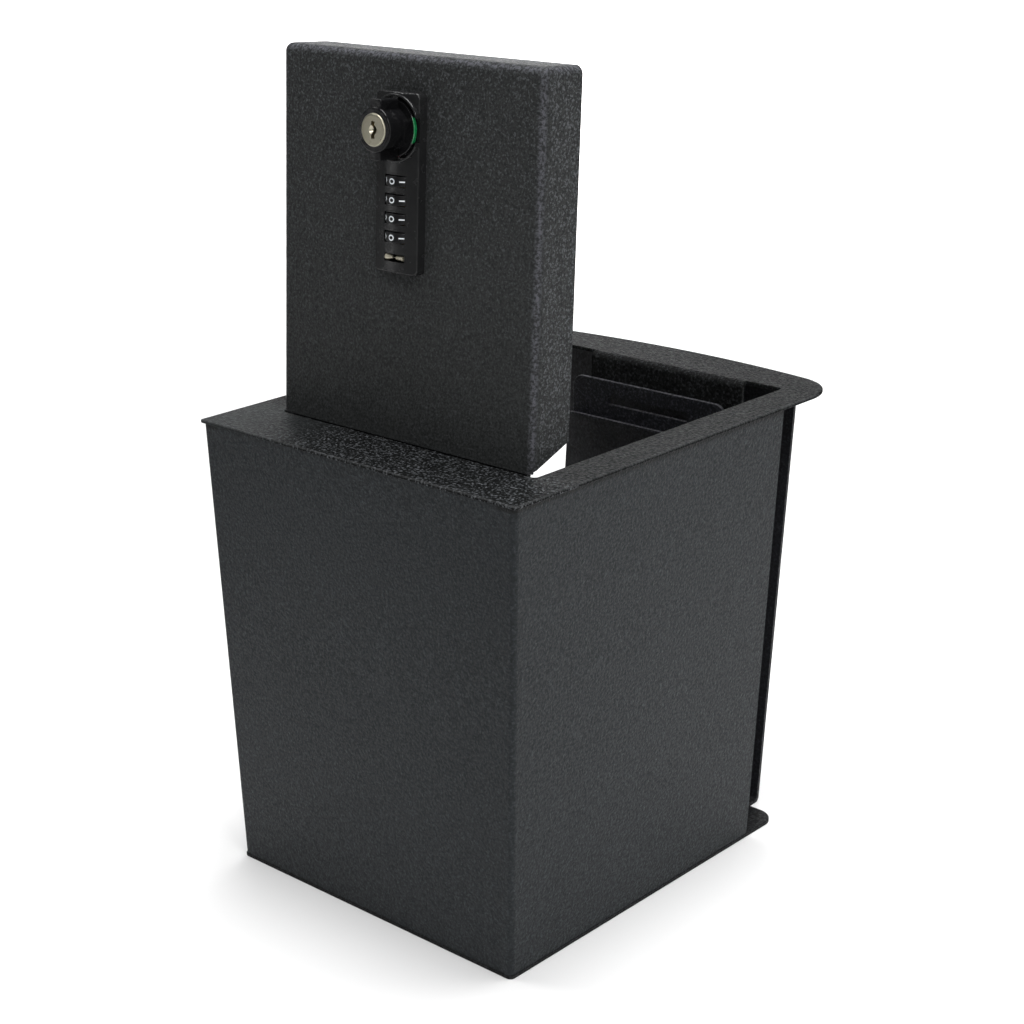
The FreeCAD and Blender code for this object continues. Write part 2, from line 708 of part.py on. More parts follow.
knob_y = edge_y + z("knob_at")
lock_y0 = edge_y + z("lock_low")
lock_y1 = lock_y0 + z("lock_len")
wheel_y = [edge_y + z("wheel_first") - z("wheel_pitch") * i for i in range(4)]
wheel_z = face + z("wheel_lift")
code_y = edge_y + z("code_at")
bay_y0 = wheel_y[3] - 7.9
bay_y1 = wheel_y[0] + 7.0
screw_low = code_y - 2.0
screw_high = wheel_y[0] + 11.2
SCREWS = [(-1.0, screw_low), (1.0, screw_low), (-1.0, screw_high), (1.0, screw_high)]

lid = new_body("lid_pan")
lid_end = edge_y + z("lid_len")
add(lid, "block", "XY", face - z("lid_deep"), z("lid_deep"), lambda s: draw_rect(
    s, -z("lid_half"), z("lid_half"), edge_y, lid_end))
ease(lid, "outer_bends", z("lid_bend_r"), lambda e: (
    near(mid(e).z, face) and not near(mid(e).y, edge_y)
    or runs(e, "Z") and near(mid(e).y, lid_end)))
remove(lid, "inside", "XY", face - z("lid_deep") - 1.0, z("lid_deep") - T + 1.0,
       lambda s: draw_rect(s, T - z("lid_half"), z("lid_half") - T, edge_y - 1.0,
                           lid_end - T))
ease(lid, "inner_bends", z("lid_bend_r") - T, lambda e: (
    near(mid(e).z, face - T) and (near(mid(e).y, lid_end - T)
                                  or near(abs(mid(e).x), z("lid_half") - T)
                                  and runs(e, "Y"))
    or runs(e, "Z") and near(mid(e).y, lid_end - T)))
remove(lid, "slant", "YZ", -z("lid_half") - 1.0, z("lid_half") * 2 + 2.0,
       lambda s: draw_poly(s, [
           (edge_y - 4.0, face - T - 0.2), (edge_y + z("slant_top"), face - T - 0.2),
           (edge_y + z("slant_low"), face - z("lid_deep") - 1.0),
           (edge_y - 4.0, face - z("lid_deep") - 1.0)]))


def lid_holes(s):
    draw_rect(s, -z("pocket_half") - 0.7, z("pocket_half") + 0.7, bay_y0, bay_y1)
    draw_circle(s, 0.0, knob_y, 8.5)
    for side, py in SCREWS:
        draw_circle(s, z("screw_x") * side, py, z("screw_r") + 0.3)


remove(lid, "lock_holes", "XY", face - T - 1.0, T + 2.0, lid_holes)
swing(lid)

# --- lock plate ------------------------------------------------------------------------

plate = new_body("lock_escutcheon")
crown = z("lock_t") - z("lock_side_t")
crown_r = (z("lock_half") * z("lock_half") + crown * crown) / (crown * 2)
add(plate, "block", "XZ", lock_y0, z("lock_len"), lambda s: draw_poly(
    s, [(-z("lock_half"), face), (z("lock_half"), face),
        (z("lock_half"), face + z("lock_side_t")),
        (-z("lock_half"), face + z("lock_side_t"))],
    {2: (crown_r, 0.0, face.value + z("lock_t").value - crown_r.value, 1)}))
ease(plate, "corners", z("lock_corner_r"), lambda e: runs(e, "Z"))
ease(plate, "front_edges", z("lock_edge_r"), lambda e: (
    mid(e).z > face.value + 3.0 and not runs(e, "Z")))
remove(plate, "collar_recess", "XY", face + z("recess_low"), 5.0, lambda s: draw_circle(
    s, 0.0, knob_y, z("recess_r")))
flat_x = z("lock_half") - 0.05


def ring_ends(s):
    """Raised ring, left open where it would pass the plate's sides."""
    outer = (z("ring_r") * z("ring_r") - flat_x * flat_x).root()
    inner = (z("recess_r") * z("recess_r") - flat_x * flat_x).root()
    cy = knob_y.value
    for side in (1.0, -1.0):
        draw_poly(s, [(flat_x * side, knob_y + inner * side), (flat_x * side, knob_y + outer * side),
                      (flat_x * -side, knob_y + outer * side),
                      (flat_x * -side, knob_y + inner * side)],
                  {1: (z("ring_r"), 0.0, cy, 1), 3: (z("recess_r"), 0.0, cy, -1)})


add(plate, "ring", "XY", face + 4.0, z("ring_top") - 4.0, ring_ends)
ease(plate, "ring_edge", 0.7, lambda e: (
    near(mid(e).z, face + z("ring_top")) and hasattr(e.Curve, "Radius")
    and near(e.Curve.Radius, z("ring_r"))))
remove(plate, "hub_hole", "XY", face - 1.0, z("recess_low") + 2.0, lambda s: draw_circle(
    s, 0.0, knob_y, 8.5))


def back_pockets(s):
    draw_rect(s, -z("pocket_half"), z("pocket_half"), wheel_y[3] - 6.6, wheel_y[0] + 4.4)
    for side, py in SCREWS:
        draw_circle(s, z("screw_x") * side, py, z("screw_r") + 0.02)


remove(plate, "back_pockets", "XY", face - 1.0, z("skin_low") + 1.0, back_pockets)
remove(plate, "code_pocket", "XY", face - 1.0, z("skin_low") + 1.0, lambda s: draw_rect(
    s, -9.3, 9.3, code_y - 2.4, code_y + 2.4))


def front_windows(s):
    for py in wheel_y:
        draw_rect(s, -z("window_half"), z("window_half"), py - z("window_tall") / 2,
                  py + z("window_tall") / 2)
    draw_rect(s, -z("code_half"), z("code_half"), code_y - z("code_tall") / 2,
              code_y + z("code_tall") / 2)


remove(plate, "windows", "XY", face + 3.0, 8.0, front_windows)


def wheel_relief(s):
    draw_circle(s, 0.0, wheel_z, z("wheel_r") + 0.6)


for i, py in enumerate(wheel_y):
    remove(plate, "wheel_relief_%d" % (i + 1), "XZ", py - z("window_tall") / 2,
           z("window_tall"), wheel_relief)
remove(plate, "axle_groove", "XZ", wheel_y[3] - 7.5, wheel_y[0] - wheel_y[3] + 13.9,
       lambda s: draw_circle(s, 0.0, wheel_z, z("axle_r") + 0.05))
swing(plate)

# collar that the knob turns on, cut off flush with the plate's sides
collar = new_body("knob_collar")
flat_y = (z("collar_r") * z("collar_r") - flat_x * flat_x).root()
add(collar, "disc", "XY", face + z("recess_low"), z("collar_t"), lambda s: (
    draw_poly(s, [(-flat_x, knob_y - flat_y), (flat_x, knob_y - flat_y),
                  (flat_x, knob_y + flat_y), (-flat_x, knob_y + flat_y)],
              {0: (z("collar_r"), 0.0, knob_y.value, 1),
               2: (z("collar_r"), 0.0, knob_y.value, 1)}),
    draw_circle(s, 0.0, knob_y, z("collar_in_r"))))
swing(collar)

# case behind the lid
case = new_body("lock_case")
case_top = face - T
add(case, "block", "XY", face - z("case_deep"), z("case_deep") - T, lambda s: draw_rect(
    s, -z("case_half"), z("case_half"), lock_y0 + 1.5, lock_y1 - 1.0))
ease(case, "corners", 2.5, lambda e: runs(e, "Z"))
ease(case, "back_edges", 1.2, lambda e: near(mid(e).z, face - z("case_deep")))
remove(case, "wheel_chamber", "XY", face - z("case_floor"), z("case_floor"),
       lambda s: draw_rect(s, -z("pocket_half") - 0.5, z("pocket_half") + 0.5,
                           bay_y0 + 0.2, bay_y1 - 0.2))


def case_bores(s):
    draw_circle(s, 0.0, knob_y, z("spindle_bore_r"))
    for side, py in SCREWS:
        draw_circle(s, z("screw_x") * side, py, z("screw_r") + 0.1)


remove(case, "bores", "XY", face - z("case_deep") - 1.0, z("case_deep") + 2.0, case_bores)
swing(case)

# four screws from behind
shapes = []
for i, (side, py) in enumerate(SCREWS):
    px = z("screw_x") * side
    shapes.append(fuse("lock_screw_%d" % i, [
        rod("lock_screw_shank_%d" % i, "Z", px, py, face - z("case_deep"),
            z("case_deep") + 4.6, z("screw_r")),
        rod("lock_screw_head_%d" % i, "Z", px, py, face - z("case_deep") - 2.0, 2.0,
            z("screw_head_r"))]))
screws = doc.addObject("Part::Compound", "lock_screws")
screws.Links = shapes
node(screws, "lock_screws", on_lid=True)

# axle and detent spring of the wheels
node(fuse("dial_axle_all", [
    rod("dial_axle_rod", "Y", 0.0, wheel_y[3] - 7.4, wheel_z,
        wheel_y[0] - wheel_y[3] + 13.6, z("axle_r")),
    rod("dial_axle_head", "Y", 0.0, wheel_y[0] + 4.8, wheel_z, 1.2, z("axle_r") - 0.1)]),
    "dial_axle", on_lid=True)
shapes = [block("detent_strip", -9.0, 9.0, wheel_y[3] - 4.5, wheel_y[0] + 4.5,
                face - z("case_floor"), face - z("case_floor") + 0.5)]
for i, py in enumerate(wheel_y):
    shapes.append(block("detent_rib_%d" % i, -1.2, 1.2, py - 1.5, py + 1.5,
                        face - z("case_floor"), wheel_z - z("wheel_r") - 0.4))
node(fuse("detent_spring_all", shapes), "detent_spring", on_lid=True)

# --- number wheels ----------------------------------------------------------------------

for i, py in enumerate(wheel_y, start=1):
    wheel = new_body("number_wheel_%d" % i)
    add(wheel, "rim", "XZ", py - z("wheel_t") / 2, z("wheel_t"), lambda s: (
        draw_circle(s, 0.0, wheel_z, z("wheel_r")),
        draw_circle(s, 0.0, wheel_z, z("axle_bore_r"))))
    ease(wheel, "rim_edges", 0.5, lambda e: (
        len(e.Vertexes) == 1 and e.Curve.Radius > z("wheel_r").value - 0.1))
    swing(wheel)
    hub = new_body("wheel_hub_%d" % i)
    hub_y = py - z("wheel_t") / 2 - z("hub_t")
    add(hub, "ring", "XZ", hub_y, z("hub_t"), lambda s: (
        draw_circle(s, 0.0, wheel_z, z("hub_r")),
        draw_circle(s, 0.0, wheel_z, z("axle_bore_r"))))
    remove(hub, "gate", "XZ", hub_y - 0.5, z("hub_t") + 1.0, lambda s: draw_rect(
        s, 3.4, 6.0, wheel_z - 1.0, wheel_z + 1.0))
    swing(hub)

# --- code change slider -------------------------------------------------------------------

spool_z = face + 4.8
node(fuse("code_slider_all", [
    block("code_block", -7.4, 7.4, code_y - 1.5, code_y + 1.5, face + 0.1, face + 1.5),
    block("code_post_left", -6.6, -5.0, code_y - 0.8, code_y + 0.8, face + 1.0, spool_z),
    block("code_post_right", 2.0, 4.6, code_y - 0.8, code_y + 0.8, face + 1.0, spool_z),
    rod("code_neck", "X", -6.5, code_y, spool_z, 11.0, 0.4),
    rod("code_end_left", "X", -6.9, code_y, spool_z, 0.9, 1.75),
    cone("code_taper_left", -6.0, code_y, spool_z, 3.6, 1.75, 0.7),
    cone("code_taper_right", -0.5, code_y, spool_z, 0.8, 0.5, 1.1),
    cone("code_end_right", 0.3, code_y, spool_z, 4.9, 1.1, 1.35)]),
    "code_slider", on_lid=True)

# --- knob ------------------------------------------------------------------------------------


def draw_sector(s, middle, half, r0, r1):
    a0, a1 = math.radians(middle - half), math.radians(middle + half)
    r0, r1 = Size.of(r0), Size.of(r1)
    p0, p1, cy = r0.value, r1.value, knob_y.value
    draw_poly(s, [(p0 * math.cos(a0), knob_y + p0 * math.sin(a0)),
                  (p1 * math.cos(a0), knob_y + p1 * math.sin(a0)),
                  (p1 * math.cos(a1), knob_y + p1 * math.sin(a1)),
                  (p0 * math.cos(a1), knob_y + p0 * math.sin(a1))],
              {1: (r1, 0.0, cy, 1), 3: (r0, 0.0, cy, -1)})


SIGNS = [("indicator_green", 0.0, z("base_top") - z("sign_low")),
         ("indicator_red", -90.0, z("sign_red_t"))]

knob = new_body("knob")
add(knob, "drum", "XY", face + z("knob_low"), z("knob_top") - z("knob_low"),
    lambda s: draw_circle(s, 0.0, knob_y, z("knob_r")))
add(knob, "ring", "XY", face + z("knob_ring_low"), z("knob_top") - z("knob_ring_low"),
    lambda s: draw_circle(s, 0.0, knob_y, z("knob_ring_r")))
ease(knob, "front_edge", 0.8, lambda e: (
    near(mid(e).z, face + z("knob_top")) and len(e.Vertexes) == 1))
wing_top = face + z("knob_top") - z("wing_back")
add(knob, "wings", "XY", face + z("wing_low"), wing_top - face - z("wing_low"),
    lambda s: draw_rect(s, -z("wing_half"), z("wing_half"), knob_y - z("wing_reach"),
                        knob_y + z("wing_reach")))
ease(knob, "wing_corners", 1.3, lambda e: (
    runs(e, "Z") and near(abs(mid(e).y - knob_y.value), z("wing_reach"))))
ease(knob, "wing_edges", 0.5, lambda e: (
    near(mid(e).z, wing_top) and abs(mid(e).y - knob_y.value) > 12.0))
add(knob, "base", "XY", face + z("knob_low"), z("base_top") - z("knob_low"),
    lambda s: draw_circle(s, 0.0, knob_y, z("base_r")))
ease(knob, "base_edge", z("base_edge_r"), lambda e: (
    near(mid(e).z, face + z("base_top")) and len(e.Vertexes) == 1
    and near(e.Curve.Radius, z("base_r"))))
for label, middle, tall in SIGNS:
    remove(knob, "seat_" + label, "XY", face + z("sign_low") - 0.02, tall + 0.04,
           lambda s: draw_sector(s, middle, z("sign_half").value + 0.1,
                                 z("sign_in_r") - 0.02, z("base_r") + 1.0))
remove(knob, "cylinder_bore", "XY", face + z("shell_low"), 20.0, lambda s: draw_circle(
    s, 0.0, knob_y, z("shell_r") + 0.05))
swing(knob)

shell = new_body("cylinder_shell")
add(shell, "barrel", "XY", face + z("shell_low"),
    z("knob_top") + z("shell_out") - z("shell_low"),
    lambda s: (draw_circle(s, 0.0, knob_y, z("shell_r")),
               draw_circle(s, 0.0, knob_y, z("plug_bore_r"))))
shell_top = face + z("knob_top") + z("shell_out")
remove(shell, "head_seat", "XY", shell_top - 1.4, 3.0, lambda s: draw_circle(
    s, 0.0, knob_y, z("plug_head_r") + 0.06))
ease(shell, "front_edge", 0.8, lambda e: (
    near(mid(e).z, shell_top) and e.Curve.Radius > 8.0))
swing(shell)

spindle_end = face - z("cam_front") - z("cam_t")
spindle = new_body("knob_spindle")
add(spindle, "shaft", "XY", face - z("cam_front"), z("cam_front") + z("knob_low"),
    lambda s: draw_circle(s, 0.0, knob_y, z("spindle_r")))
add(spindle, "square", "XY", spindle_end, z("cam_t") + 1.0, lambda s: draw_rect(
    s, -z("square_half"), z("square_half"), knob_y - z("square_half"),
    knob_y + z("square_half")))
remove(spindle, "thread", "XY", spindle_end - 1.0, 13.0, lambda s: draw_circle(
    s, 0.0, knob_y, 2.1))
swing(spindle)


for label, middle, tall in SIGNS:
    sign = new_body(label)
    add(sign, "band", "XY", face + z("sign_low"), tall,
        lambda s: draw_sector(s, middle, z("sign_half").value, z("sign_in_r"), z("base_r")))
    if middle == 0.0:
        ease(sign, "edge", z("base_edge_r"), lambda e: (
            near(mid(e).z, face + z("base_top")) and hasattr(e.Curve, "Radius")
            and near(e.Curve.Radius, z("base_r"))))
    swing(sign)

cam = new_body("latch_cam")
add(cam, "arm", "XY", spindle_end, z("cam_t"), lambda s: draw_rect(
    s, -9.0, z("cam_len"), knob_y - z("cam_half"), knob_y + z("cam_half")))
ease(cam, "tail", 5.0, lambda e: runs(e, "Z") and mid(e).x < 0)
ease(cam, "tip", 2.0, lambda e: runs(e, "Z") and mid(e).x > 0)
remove(cam, "square", "XY", spindle_end - 1.0, z("cam_t") + 2.0, lambda s: draw_rect(
    s, -z("square_half") - 0.05, z("square_half") + 0.05,
    knob_y - z("square_half") - 0.05, knob_y + z("square_half") + 0.05))
swing(cam)

washer_top = spindle_end
node(cut("cam_washer_cut",
         rod("cam_washer_disc", "Z", 0.0, knob_y, washer_top - 1.0, 1.0, 6.0),
         rod("cam_washer_hole", "Z", 0.0, knob_y, washer_top - 2.0, 3.0, 2.1)),
     "cam_washer", on_lid=True)
node(fuse("cam_screw_all", [
    rod("cam_screw_head", "Z", 0.0, knob_y, washer_top - 4.0, 3.0, 4.2),
    rod("cam_screw_shank", "Z", 0.0, knob_y, washer_top - 2.0, 12.0, 2.0)]),
    "cam_screw", on_lid=True)

# --- key plug ---------------------------------------------------------------------------------

plug_top = shell_top - 0.15
plug_low = face + z("shell_low") + 0.2
plug = new_body("key_plug")
add(plug, "barrel", "XY", plug_low, plug_top - plug_low, lambda s: draw_circle(
    s, 0.0, knob_y, z("plug_r")))
add(plug, "head", "XY", shell_top - 1.3, plug_top - shell_top + 1.3, lambda s: draw_circle(
    s, 0.0, knob_y, z("plug_head_r")))
mouth_in = z("key_mouth_r") - z("key_mouth_deep")
remove(plug, "mouth", "XY", plug_top - z("key_mouth_deep") - 0.05, 3.0, lambda s: draw_circle(
    s, 0.0, knob_y, mouth_in))
bevel(plug, "mouth_funnel", z("key_mouth_deep"), lambda e: (
    near(mid(e).z, plug_top) and near(e.Curve.Radius, mouth_in)))
key_w, key_h, key_s = z("key_half_w"), z("key_half_h"), z("key_step")
remove(plug, "keyway", "XY", plug_low + 1.0, 20.0, lambda s: draw_poly(s, [
    (-key_w, knob_y - key_h), (key_w, knob_y - key_h), (key_w, knob_y - 1.7),
    (key_w + key_s, knob_y - 1.0), (key_w + key_s, knob_y + 0.9), (key_w, knob_y + 1.6),
    (key_w, knob_y + key_h), (-key_w, knob_y + key_h), (-key_w, knob_y + 2.2),
    (key_s - key_w, knob_y + 1.5), (key_s - key_w, knob_y - 0.4), (-key_w, knob_y - 1.1)]))
wafers = []
for i in range(4):
    wz = plug_low + 2.0 + 2.2 * i
    remove(plug, "wafer_slot_%d" % (i + 1), "XY", wz, 1.1, lambda s: draw_rect(
        s, -2.4, 2.4, knob_y - 4.5, knob_y + 4.5))
    wafers.append(cut("key_wafer_%d" % (i + 1),
                      block("wafer_plate_%d" % (i + 1), -2.3, 2.3, knob_y - 4.4,
                            knob_y + 4.4, wz + 0.05, wz + 1.05),
                      block("wafer_window_%d" % (i + 1), -1.05, 1.65, knob_y - 2.8,
                            knob_y + 2.2, wz - 1.0, wz + 2.0)))
swing(plug)
wafer_set = doc.addObject("Part::Compound", "key_wafers")
wafer_set.Links = wafers
node(wafer_set, "key_wafers", on_lid=True)

# --- checks and export ---------------------------------------------------------------------------

doc.recompute()
for obj in doc.Objects:
    if "Invalid" in obj.State or "Error" in obj.State:
        raise RuntimeError("%s is in state %s" % (obj.Label, obj.State))
for obj in nodes:
    shape = obj.Shape
    if shape.isNull() or not shape.isValid() or not shape.Solids:
        raise RuntimeError("%s has no valid shape" % obj.Label)
for obj in nodes:
    obj.Shape.exportStep("parts/%s.step" % obj.Label)
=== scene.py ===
import math

import bmesh
import bpy
from mathutils import Matrix, Vector


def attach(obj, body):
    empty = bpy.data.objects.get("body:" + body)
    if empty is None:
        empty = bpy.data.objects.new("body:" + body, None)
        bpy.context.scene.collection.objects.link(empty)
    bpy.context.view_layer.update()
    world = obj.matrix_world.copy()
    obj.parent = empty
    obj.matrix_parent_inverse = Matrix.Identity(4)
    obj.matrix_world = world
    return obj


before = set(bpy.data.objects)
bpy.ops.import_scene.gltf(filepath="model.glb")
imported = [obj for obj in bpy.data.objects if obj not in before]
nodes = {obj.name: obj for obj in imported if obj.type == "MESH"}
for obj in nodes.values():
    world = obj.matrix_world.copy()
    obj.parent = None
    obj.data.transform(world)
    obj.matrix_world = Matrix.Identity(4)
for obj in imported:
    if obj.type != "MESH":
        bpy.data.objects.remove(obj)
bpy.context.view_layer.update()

# ------------------------------------------------------------------ materials


class Graph:
    """Small helper round a material's node tree."""

    def __init__(self, name):
        self.mat = bpy.data.materials.new(name)
        self.mat.use_nodes = True
        self.tree = self.mat.node_tree
        self.tree.nodes.clear()
        self.out = self.tree.nodes.new("ShaderNodeOutputMaterial")
        self.shader = self.tree.nodes.new("ShaderNodeBsdfPrincipled")
        self.link(self.shader.outputs["BSDF"], self.out.inputs["Surface"])
        self.coord = self.tree.nodes.new("ShaderNodeTexCoord")

    def link(self, a, b):
        self.tree.links.new(a, b)

    def add(self, kind, **values):
        node = self.tree.nodes.new(kind)
        for key, value in values.items():
            setattr(node, key, value)
        return node

    def noise(self, scale, detail=2.0, rough=0.5, stretch=None, distort=0.0):
        node = self.add("ShaderNodeTexNoise")
        node.inputs["Scale"].default_value = scale
        node.inputs["Detail"].default_value = detail
        node.inputs["Roughness"].default_value = rough
        node.inputs["Distortion"].default_value = distort
        self.feed(node, stretch)
        return node.outputs["Fac"]

    def cells(self, scale, feature="F1", smooth=None, stretch=None):
        node = self.add("ShaderNodeTexVoronoi", feature=feature)
        node.inputs["Scale"].default_value = scale
        if smooth is not None:
            node.inputs["Smoothness"].default_value = smooth
        self.feed(node, stretch)
        return node.outputs["Distance"]

    def feed(self, node, stretch=None):
        if stretch is None:
            self.link(self.coord.outputs["Object"], node.inputs["Vector"])
            return
        mapping = self.add("ShaderNodeMapping")
        mapping.inputs["Scale"].default_value = stretch
        self.link(self.coord.outputs["Object"], mapping.inputs["Vector"])
        self.link(mapping.outputs["Vector"], node.inputs["Vector"])

    def ramp(self, source, stops):
        node = self.add("ShaderNodeValToRGB")
        elements = node.color_ramp.elements
        while len(elements) < len(stops):
            elements.new(0.5)
        for element, (place, colour) in zip(elements, stops):
            element.position = place
            element.color = colour if len(colour) == 4 else (*colour, 1.0)
        self.link(source, node.inputs["Fac"])
        return node.outputs["Color"]

    def span(self, source, low, high, out_low, out_high):
        node = self.add("ShaderNodeMapRange")
        for key, value in (("From Min", low), ("From Max", high),
                           ("To Min", out_low), ("To Max", out_high)):
            node.inputs[key].default_value = value
        self.link(source, node.inputs["Value"])
        return node.outputs["Result"]

    def math(self, kind, a, b):
        node = self.add("ShaderNodeMath", operation=kind)
        for i, v in enumerate((a, b)):
            if isinstance(v, (int, float)):
                node.inputs[i].default_value = v
            else:
                self.link(v, node.inputs[i])
        return node.outputs["Value"]

    def split(self, source):
        node = self.add("ShaderNodeSeparateXYZ")
        self.link(source, node.inputs["Vector"])
        return node.outputs

    def mix(self, amount, first, second):
        node = self.add("ShaderNodeMix", data_type="RGBA")
        colours = [i for i in node.inputs if i.type == "RGBA"]
        self.link(amount, node.inputs[0])
        self.link(first, colours[0])
        colours[1].default_value = (*second, 1.0)
        return [o for o in node.outputs if o.type == "RGBA"][0]

    def bump(self, height, strength, distance, normal=None):
        node = self.add("ShaderNodeBump")
        node.inputs["Strength"].default_value = strength
        node.inputs["Distance"].default_value = distance
        self.link(height, node.inputs["Height"])
        if normal is not None:
            self.link(normal, node.inputs["Normal"])
        return node.outputs["Normal"]

    def set(self, **values):
        for key, value in values.items():
            self.shader.inputs[key.replace("_", " ")].default_value = value

    def to(self, name, source):
        self.link(source, self.shader.inputs[name])


# Lid frame: across, along the lid from its hinge edge, and height off its face.
HINGE_Y, HINGE_Z = -0.1001, 0.2637
OPEN = math.radians(86.43)
LID = (Matrix.Translation((0, HINGE_Y, HINGE_Z)) @ Matrix.Rotation(OPEN, 4, "X")
       @ Matrix.Translation((0, -HINGE_Y, -HINGE_Z)))
FACE = HINGE_Z + 0.0045
EDGE = HINGE_Y + 0.002
LID_HALF, LID_LEN, LID_BEND = 0.0916, 0.199, 0.0045
TOP_HALF, TOP_FRONT, TOP_Z = 0.1158, -0.1435, 0.265


def lid_axes(g):
    """Across, along and above the lid, from object coordinates."""
    mapping = g.add("ShaderNodeMapping")
    start = Matrix.Rotation(-OPEN, 3, "X") @ (LID @ Vector((0, EDGE, FACE)))
    mapping.inputs["Location"].default_value = -start
    mapping.inputs["Rotation"].default_value = (-OPEN, 0, 0)
    g.link(g.coord.outputs["Object"], mapping.inputs["Vector"])
    return g.split(mapping.outputs["Vector"])


def lid_bend_highlight(g):
    """1 along the rounded bends of the lid, fading to 0 on its flats: where a painted highlight lightens the
    coat.
    """
    x, w, h = lid_axes(g)
    side = g.math("SUBTRACT", LID_HALF, g.math("ABSOLUTE", x, 0.0))
    end = g.math("SUBTRACT", LID_LEN, w)
    deep = g.math("MULTIPLY", h, -1.0)
    middle = g.math("MAXIMUM", g.math("MINIMUM", side, end),
                    g.math("MINIMUM", g.math("MAXIMUM", side, end), deep))
    return g.span(middle, LID_BEND * 0.85, LID_BEND * 0.3, 0.0, 1.0)


def plate_rim_highlight(g):
    """1 along the outer upper edge of the top plate, where a painted highlight lightens the coat."""
    x, y, z = g.split(g.coord.outputs["Object"])
    side = g.math("SUBTRACT", TOP_HALF, g.math("ABSOLUTE", x, 0.0))
    front = g.math("SUBTRACT", y, TOP_FRONT)
    deep = g.math("SUBTRACT", TOP_Z, z)
    inward = g.math("MAXIMUM", g.math("MINIMUM", side, front), deep)
    return g.span(inward, 0.0010, 0.0004, 0.0, 1.0)


def upward_highlight(g):
    """1 on narrow edges that face up, where a painted highlight lightens the coat."""
    node = g.add("ShaderNodeNewGeometry")
    return g.span(g.split(node.outputs["Normal"])[2], 0.5, 0.9, 0.0, 1.0)


def shadow_under_plate(g):
    """1 on the side walls in the seam just under the top plate, where a painted shadow line darkens the
    coat.
    """
    x, y, z = g.split(g.coord.outputs["Object"])
    wall = g.span(g.math("ABSOLUTE", x, 0.0), 0.100, 0.104, 0.0, 1.0)
    return g.math("MULTIPLY", wall, g.span(z, 0.2600, 0.2613, 0.0, 1.0))


def lid_glints(g):
    """How strongly the painted glints on the grain show on the lid: least low on its face, most on its
    sides.
    """
    x, w, h = lid_axes(g)
    return g.math("MAXIMUM", g.span(w, 0.04, 0.19, 0.32, 0.85), g.span(h, -0.002, -0.006, 0.0, 1.6))


def top_glints(g):
    """How strongly the painted glints on the grain show on the top plate: most beside the lid's hinge edge.
    """
    x, y, z = g.split(g.coord.outputs["Object"])
    front = g.span(y, -0.092, -0.102, 0.0, 1.0)
    return g.math("ADD", 0.23, g.math("MULTIPLY", front, g.span(x, -0.10, -0.05, 0.1, 0.79)))


def top_left_sheen(g):
    """1 on the front left of the top plate, where a painted sheen makes the coat paler."""
    x, y, z = g.split(g.coord.outputs["Object"])
    return g.math("MULTIPLY", g.span(y, -0.092, -0.102, 0.0, 1.0), g.span(x, -0.035, -0.105, 0.0, 1.0))


def coat(name, dark, middle, glint_fleck, grain, depth, rough, spec, edge=None, edge_light_shade=(0, 0, 0), much=0.0,
         patchy=0.1, where=None, sheen_mask=None, sheen=(0, 0, 0)):
    """Textured powder coat: dark ground with sparse grains painted pale as glints, a painted sheen where
    given, and painted light along the edge mask: a painted highlight when its colour is pale, a painted
    shadow line when it is dark.
    """
    g = Graph(name)
    lumps = g.noise(grain, 3.0, 0.62)
    grains = g.noise(grain * 1.15, 2.0, 0.6)
    drift = g.noise(9.0, 3.0, 0.55)
    height = g.math("ADD", g.math("MULTIPLY", lumps, 0.6), g.math("MULTIPLY", grains, 0.4))
    g.to("Normal", g.bump(height, 1.0, depth))
    shade = g.math("ADD", g.math("MULTIPLY", lumps, 0.85), g.math("MULTIPLY", drift, 0.15))
    # Grain flecks painted pale, standing in for glints; the where mask sets how strongly they show.
    amount = g.span(grains, 0.52, 0.72, 0.0, 1.0)
    if where is not None:
        amount = g.math("MULTIPLY", amount, where(g))
    colour = g.mix(amount, g.ramp(shade, [(0.38, dark), (0.62, middle)]), glint_fleck)
    # Painted sheen: paler colour where the sheen mask is set.
    if sheen_mask is not None:
        colour = g.mix(sheen_mask(g), colour, sheen)
    # Painted light along the edge mask: a painted highlight where its colour is pale, a painted shadow line
    # where it is dark.
    if edge is not None:
        edge_painted = g.math("MULTIPLY", edge(g), g.span(lumps, 0.44, 0.60, patchy * much, much))
        colour = g.mix(edge_painted, colour, edge_light_shade)
    g.to("Base Color", colour)
    g.to("Roughness", g.span(lumps, 0.38, 0.66, rough + 0.14, rough - 0.08))
    g.set(Specular_IOR_Level=spec)
    return g.mat


# Top plate coat: painted glints on its grain, a painted highlight along its outer rim, a painted sheen on
# its front left.
COAT_TOP = coat("coat_top", (0.003, 0.0032, 0.0034), (0.0095, 0.0101, 0.0099), (0.110, 0.116, 0.124),
                580.0, 0.0008, 0.50, 0.045, plate_rim_highlight, (0.075, 0.077, 0.079), 0.55, 0.5, top_glints,
                top_left_sheen, (0.025, 0.0272, 0.0278))
# Lid coat: painted glints on its grain, most on its sides; a lavender painted highlight along its bends.
COAT_LID = coat("coat_lid", (0.0175, 0.0186, 0.0186), (0.0345, 0.0364, 0.0364), (0.094, 0.098, 0.105),
                680.0, 0.0008, 0.42, 0.09, lid_bend_highlight, (0.14, 0.14, 0.165), 0.55, 0.1, lid_glints)
# Wall coat: painted glints on its grain; a painted shadow line in the seam under the top plate.
COAT_WALL = coat("coat_wall", (0.0086, 0.0103, 0.0116), (0.0142, 0.0169, 0.0190), (0.0290, 0.0345, 0.0388),
                 600.0, 0.0006, 0.46, 0.18, shadow_under_plate, (0.002, 0.002, 0.002), 1.0, 0.6)
